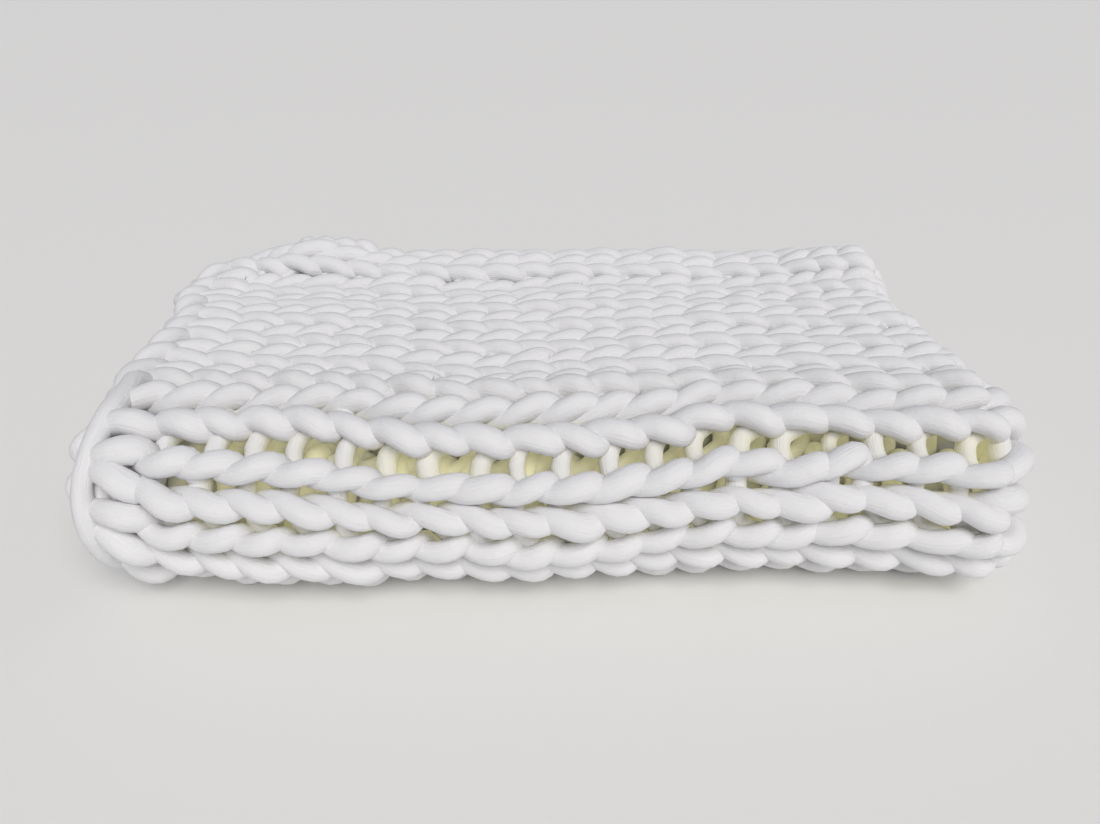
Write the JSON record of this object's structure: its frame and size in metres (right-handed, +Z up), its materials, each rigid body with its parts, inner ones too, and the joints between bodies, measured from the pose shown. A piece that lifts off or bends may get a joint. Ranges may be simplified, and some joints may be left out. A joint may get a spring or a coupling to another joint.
{
  "type": "chunky knit throw blanket",
  "caption": "Folded throw blanket of very thick soft yarn in large plain-knit stitches, rounded fold at the front, loose edges at the back; bedding and sofa cover.",
  "frame": {"origin": "under the middle of the folded throw, on the surface that it rests on", "axes": "+X along the columns of stitches, towards the end with the closed fold; +Y from the rounded front fold to the loose back edges; +Z up"},
  "size_m": [0.811, 0.5008, 0.1802],
  "materials": {
    "yarn": "matte brushed off-white acrylic roving yarn, soft and slightly fuzzy"
  },
  "bodies": {
    "root": {"folded_throw": "yarn"}
  },
  "joints": []
}
